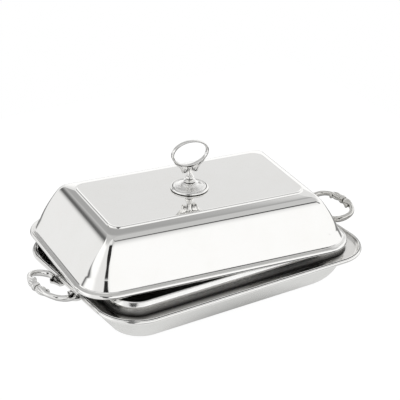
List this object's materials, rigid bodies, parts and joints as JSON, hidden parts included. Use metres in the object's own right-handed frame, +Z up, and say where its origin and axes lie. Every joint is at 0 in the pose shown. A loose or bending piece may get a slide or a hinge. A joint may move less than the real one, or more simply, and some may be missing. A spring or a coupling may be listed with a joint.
{
  "type": "covered vegetable dish",
  "caption": "oblong footless serving dish with a liner that lifts out, loop handles at the ends and a high sloping cover whose ring finial unlocks by a quarter turn",
  "frame": {"origin": "middle of the outer dish's flat underside, on the table", "axes": "+X along the dish from the left handle to the right one, +Y to its back, +Z up"},
  "size_m": [0.3722, 0.2095, 0.153],
  "materials": {
    "polished_silver": "polished silver plate with fine wiping scratches",
    "satin_silver": "silver plate dulled by wear, soft reflections",
    "cast_silver": "cast and chased silver plate, dark tarnish in the recesses"
  },
  "bodies": {
    "base": {"outer_dish": "satin_silver", "rim_bead": "polished_silver", "right_handle_bow": "cast_silver", "right_handle_collar": "cast_silver", "right_handle_foot_a": "cast_silver", "right_handle_foot_b": "cast_silver", "left_handle_bow": "cast_silver", "left_handle_collar": "cast_silver", "left_handle_foot_a": "cast_silver", "left_handle_foot_b": "cast_silver"},
    "liner": {"inner_dish": "polished_silver", "inner_dish_lip": "polished_silver"},
    "cover": {"cover_shell": "polished_silver", "cover_border": "polished_silver", "cover_lock_plate": "satin_silver"},
    "finial": {"finial_foot_bead": "polished_silver", "finial_dome": "cast_silver", "finial_knop": "polished_silver", "finial_stem": "cast_silver", "finial_volute_right": "cast_silver", "finial_volute_left": "cast_silver", "finial_ring": "polished_silver", "finial_stud": "satin_silver", "finial_lug_bar": "satin_silver"}
  },
  "joints": [
    {"name": "inner_lift", "type": "slide", "parent": "base", "child": "liner", "axis": [0, 0, 1], "range_m": [0, 0.06]},
    {"name": "cover_lift", "type": "slide", "parent": "liner", "child": "cover", "axis": [0, 0, 1], "range_m": [0, 0.12]},
    {"name": "finial_turn", "type": "hinge", "parent": "cover", "child": "finial", "pos_m": [-0.00864, 0.00834, 0.10238], "axis": [-0.0085, 0.024, 0.9997], "range_deg": [0, 90]}
  ]
}
